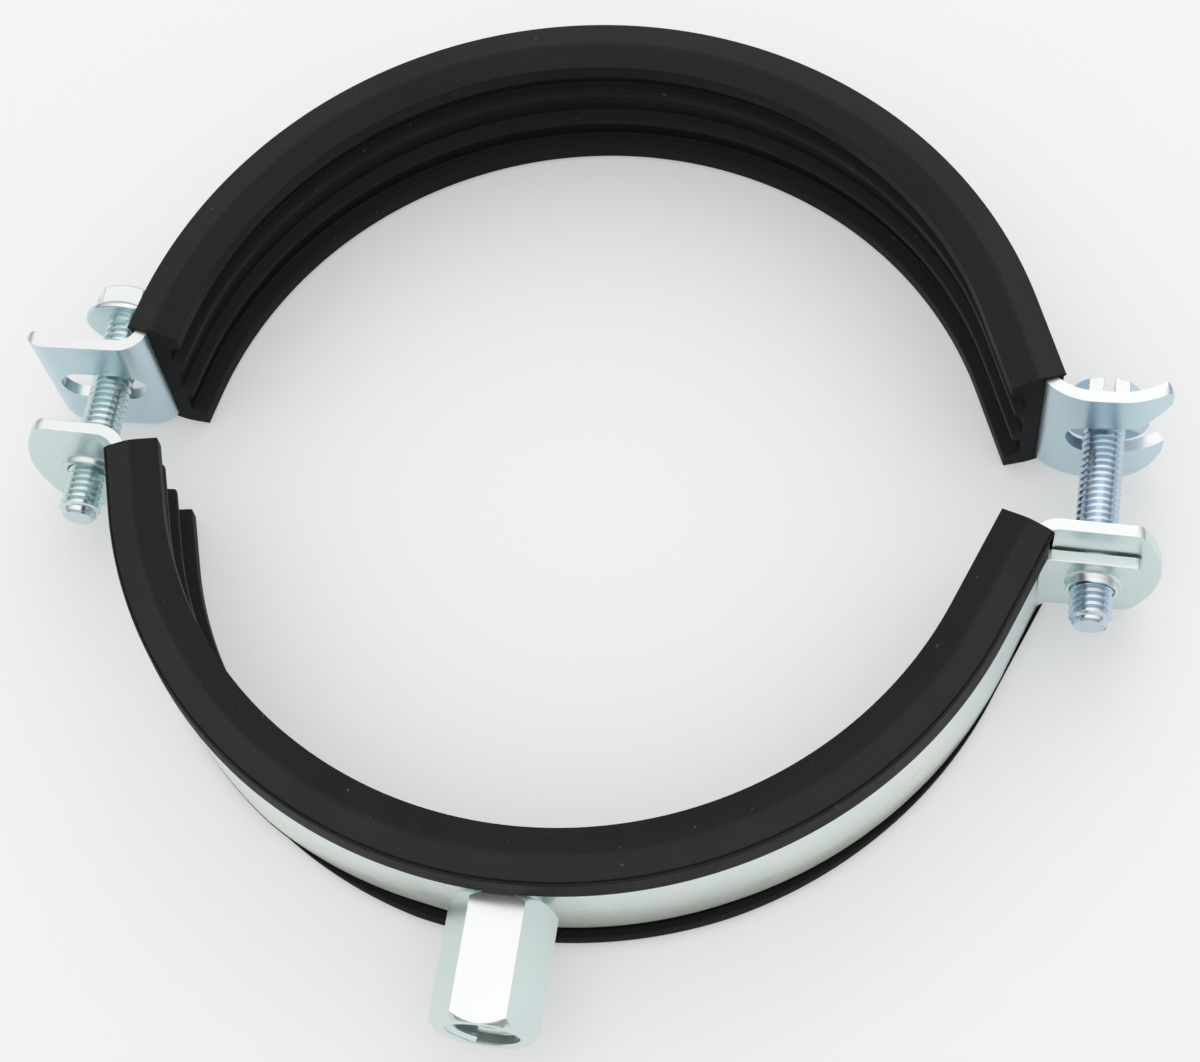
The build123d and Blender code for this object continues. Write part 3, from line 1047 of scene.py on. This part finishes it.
def rubber():
    """Moulded charcoal rubber with specks of dust; painted shade makes its walls darkest and its inner
    side darker, and painted light makes its outer slope palest.
    """
    shader = Shader(bpy.data.materials.new("rubber"), Metallic=0.0, Specular_IOR_Level=0.1)
    place = shader.coordinates()
    x, y, z = shader.parts(place)
    flat = shader.node("ShaderNodeCombineXYZ", {}, {0: x, 1: y})
    facing = shader.coordinates("Normal")
    outwards = shader.vector("DOT_PRODUCT", facing, shader.vector("NORMALIZE", flat, output="Vector"))
    around = shader.node("ShaderNodeMath", {"operation": "ARCTAN2"}, {0: y, 1: x})
    radius = shader.vector("LENGTH", flat)
    across = {0: radius * rubber_streak_scale, 1: around * 1.6, 2: z * rubber_streak_scale}
    streaks = shader.noise(shader.node("ShaderNodeCombineXYZ", {}, across), 1.0, 4.0, 0.6)
    clouds = shader.noise(place, rubber_cloud_scale, 4.0, 0.6)
    grain = shader.noise(place, rubber_grain_scale, 3.0, 0.6)
    tone = shader.smooth(streaks * 0.35 + clouds * 0.65, 0.3, 0.7)
    inner = shader.mix(tone, *shaded_inner_blacks)
    outer = shader.mix(tone, *lit_outer_blacks)
    # Painted light and shade: faces turned outwards take the paler outer tones, faces turned inwards the
    # darker inner ones
    colour = shader.mix(shader.smooth(outwards, -0.08, 0.08), inner, outer)
    upwards = shader.parts(facing)[2]
    # Painted shade: faces that do not face up are painted the darkest, as walls in shade
    colour = shader.mix(shader.smooth(upwards, 0.2, 0.6), painted_wall_shade, colour)
    specks = shader.smooth(shader.noise(place, rubber_speck_scale, 1.0, 0.4), 0.765, 0.82)
    shader.feed("Base Color", shader.mix(specks, colour, dust))
    shader.feed("Roughness", shader.smooth(clouds, 0.25, 0.75, 0.5, 0.62))
    shader.bump(grain * 0.6 + streaks * 0.4, 0.2, 0.0002)
    return shader.owner


def zinc(name, rough, green_tint, blue_tint, left_to_right=False, yellow_share=None):
    """Bright, softly clouded zinc plate on steel, with a painted highlight on what faces up. Its two
    tints meet where the halves do, or in the middle from left to right. With a share of yellow given,
    the lower band's front is painted paler as a painted reflection of the pale table, and its lower
    edge is duller and yellower by that share."""
    shader = Shader(bpy.data.materials.new(name), Metallic=zinc_metallic)
    place = shader.coordinates()
    x, y, z = shader.parts(place)
    blueness = shader.smooth(x if left_to_right else y, -tint_seam, tint_seam)
    colour = shader.mix(blueness, green_tint, blue_tint)
    if yellow_share:
        front = shader.smooth(y, *front_span)
        low = shader.smooth(z, *edge_span) * front
        # Painted reflection: the lower band's front is painted paler, as if it mirrored the pale table
        colour = shader.mix(front, colour, zinc_painted_front_reflection)
        colour = shader.mix(low * yellow_share, colour, zinc_yellow)
        shader.feed("Metallic", zinc_metallic - low * edge_dulling)
    clouds = shader.noise(place, zinc_cloud_scale)
    colour = shader.mix(shader.smooth(clouds, 0.3, 0.7, 0.0, cloud_share), colour, zinc_cloud)
    upwards = shader.parts(shader.coordinates("Normal"))[2]
    # Painted highlight: what faces up is painted paler
    shader.feed("Base Color", shader.mix(shader.smooth(upwards, 0.7, 0.95), colour, zinc_painted_top_light))
    mottle = shader.noise(place, zinc_mottle_scale, 1.0, 0.4)
    shader.feed("Roughness", shader.smooth(mottle, 0.3, 0.7, rough * 0.9, rough * 1.1))
    return shader.owner


# The clamp

rubber_finish = rubber()
strip_finish = zinc("zinc_strip", 0.3, (0.72, 0.84, 0.83), (0.62, 0.78, 0.85), yellow_share=0.6)
screw_finish = zinc("zinc_screw", 0.2, (0.66, 0.80, 0.82), (0.60, 0.72, 0.84), left_to_right=True)
nut_finish = zinc("zinc_nut", 0.22, (0.75, 0.86, 0.85), (0.75, 0.86, 0.85))

piece("upper_strip", upper_strip(), upper_place, strip_finish, "upper_half", "upper_band")
piece("lower_strip", lower_strip(), lower_place, strip_finish, "lower_half", "lower_band")
piece(
    "upper_rubber",
    liner(upper_seat_radius, upper_strip_radius, upper_ear_height, upper_ears),
    upper_place,
    rubber_finish,
    "upper_half",
    "upper_liner",
    smooth=30,
)
piece(
    "lower_rubber",
    liner(lower_seat_radius, lower_strip_radius, lower_ear_height, lower_ears, lower_lip_out),
    lower_place,
    rubber_finish,
    "lower_half",
    "lower_liner",
    smooth=30,
)
for side, x, gap, turn in (
    ("left", left_screw_x, left_head_gap, left_screw_turn),
    ("right", right_screw_x, right_head_gap, right_screw_turn),
):
    name = side + "_screw"
    piece(side + "_bolt", screw(), screw_place(x, gap, turn), screw_finish, name, name)
under_ear = -lower_ear_height - strip_thickness
plate_place = Matrix.Translation((right_screw_x, under_ear, middle)) @ towards_minus_y
piece("square_plate", square_plate(), plate_place, strip_finish, "lower_half", "nut_plate")
nut_place = Matrix.Translation((0, -nut_seat, middle)) @ towards_minus_y
piece("long_nut", long_nut(), nut_place, nut_finish, "lower_half", "connection_nut")


# Table, light and camera

table_colour = (0.92, 0.92, 0.915, 1)
glow_colour = (0.99, 0.99, 0.985, 1)
glow_share = 0.33
table_reach = 3.0
horizon_light = 0.12
zenith_light = 1.27


def table_finish():
    """A pale matt table. To the camera and in reflections a share of it glows, as pale as in the
    photo, and the rest still takes the clamp's shadow."""
    shader = Shader(
        bpy.data.materials.new("table"),
        Base_Color=table_colour,
        Roughness=0.7,
        Specular_IOR_Level=0.2,
    )
    seen_by = ("Is Camera Ray", "Is Glossy Ray", "Is Transmission Ray")
    rays = [shader.node("ShaderNodeLightPath", output=name) for name in seen_by]
    share = (rays[0] + rays[1] + rays[2]) * glow_share
    matt = Value(shader, shader.surface.outputs[0])
    glow = shader.node("ShaderNodeEmission", {}, {"Color": glow_colour, "Strength": 1.0})
    mixed = shader.node("ShaderNodeMixShader", {}, {0: share, 1: matt, 2: glow})
    shader.tree.links.new(mixed.socket, shader.tree.nodes["Material Output"].inputs["Surface"])
    return shader.owner


def table():
    """A flat table under the clamp."""
    bm = bmesh.new()
    bmesh.ops.create_grid(bm, x_segments=1, y_segments=1, size=table_reach)
    mesh = bpy.data.meshes.new("table")
    bm.to_mesh(mesh)
    bm.free()
    mesh.materials.append(table_finish())
    top = bpy.data.objects.new("table", mesh)
    bpy.context.collection.objects.link(top)


def soft_light(name, place, target, size, power):
    """A square soft light that looks at a point."""
    data = bpy.data.lights.new(name, "AREA")
    data.shape = "SQUARE"
    data.size = size
    data.energy = power
    lamp = bpy.data.objects.new(name, data)
    bpy.context.collection.objects.link(lamp)
    lamp.location = place
    lamp.rotation_mode = "QUATERNION"
    lamp.rotation_quaternion = (Vector(target) - Vector(place)).to_track_quat("-Z", "Y")


def sky():
    """A plain surround, dim at the level of the table and pale overhead."""
    shader = Shader(bpy.data.worlds.new("surround"), "Background", Strength=1.0)
    height = shader.parts(shader.coordinates("Generated"))[2]
    light = {"Value": height, "To Min": horizon_light, "To Max": zenith_light}
    shader.feed("Color", shader.node("ShaderNodeMapRange", {}, light))
    bpy.context.scene.world = shader.owner


def camera():
    """The photo's view: from the front and high above, turned a little about its own axis."""
    azimuth, elevation, roll = radians(19.1), radians(64.367), radians(-11.539)
    target = Vector((2.381, -3.93, 0.0))
    distance = 379.36
    back = Vector((sin(azimuth) * cos(elevation), -cos(azimuth) * cos(elevation), sin(elevation)))
    level = Vector((cos(azimuth), sin(azimuth), 0))
    upright = back.cross(level)
    right = level * cos(roll) + upright * sin(roll)
    up = upright * cos(roll) - level * sin(roll)
    place = (target + back * distance) * MM
    data = bpy.data.cameras.new("camera")
    data.sensor_width = 36
    data.lens = 76.98
    view = bpy.data.objects.new("camera", data)
    bpy.context.collection.objects.link(view)
    turned_to = Matrix((right, up, back)).transposed().to_4x4()
    view.matrix_world = Matrix.Translation(place) @ turned_to
    bpy.context.scene.camera = view


table()
sky()
soft_light("lamp", place=(0.1, 0.8, 0.62), target=(0, 0, 0), size=0.6, power=0.9)
camera()
bpy.context.scene.view_settings.view_transform = "Standard"
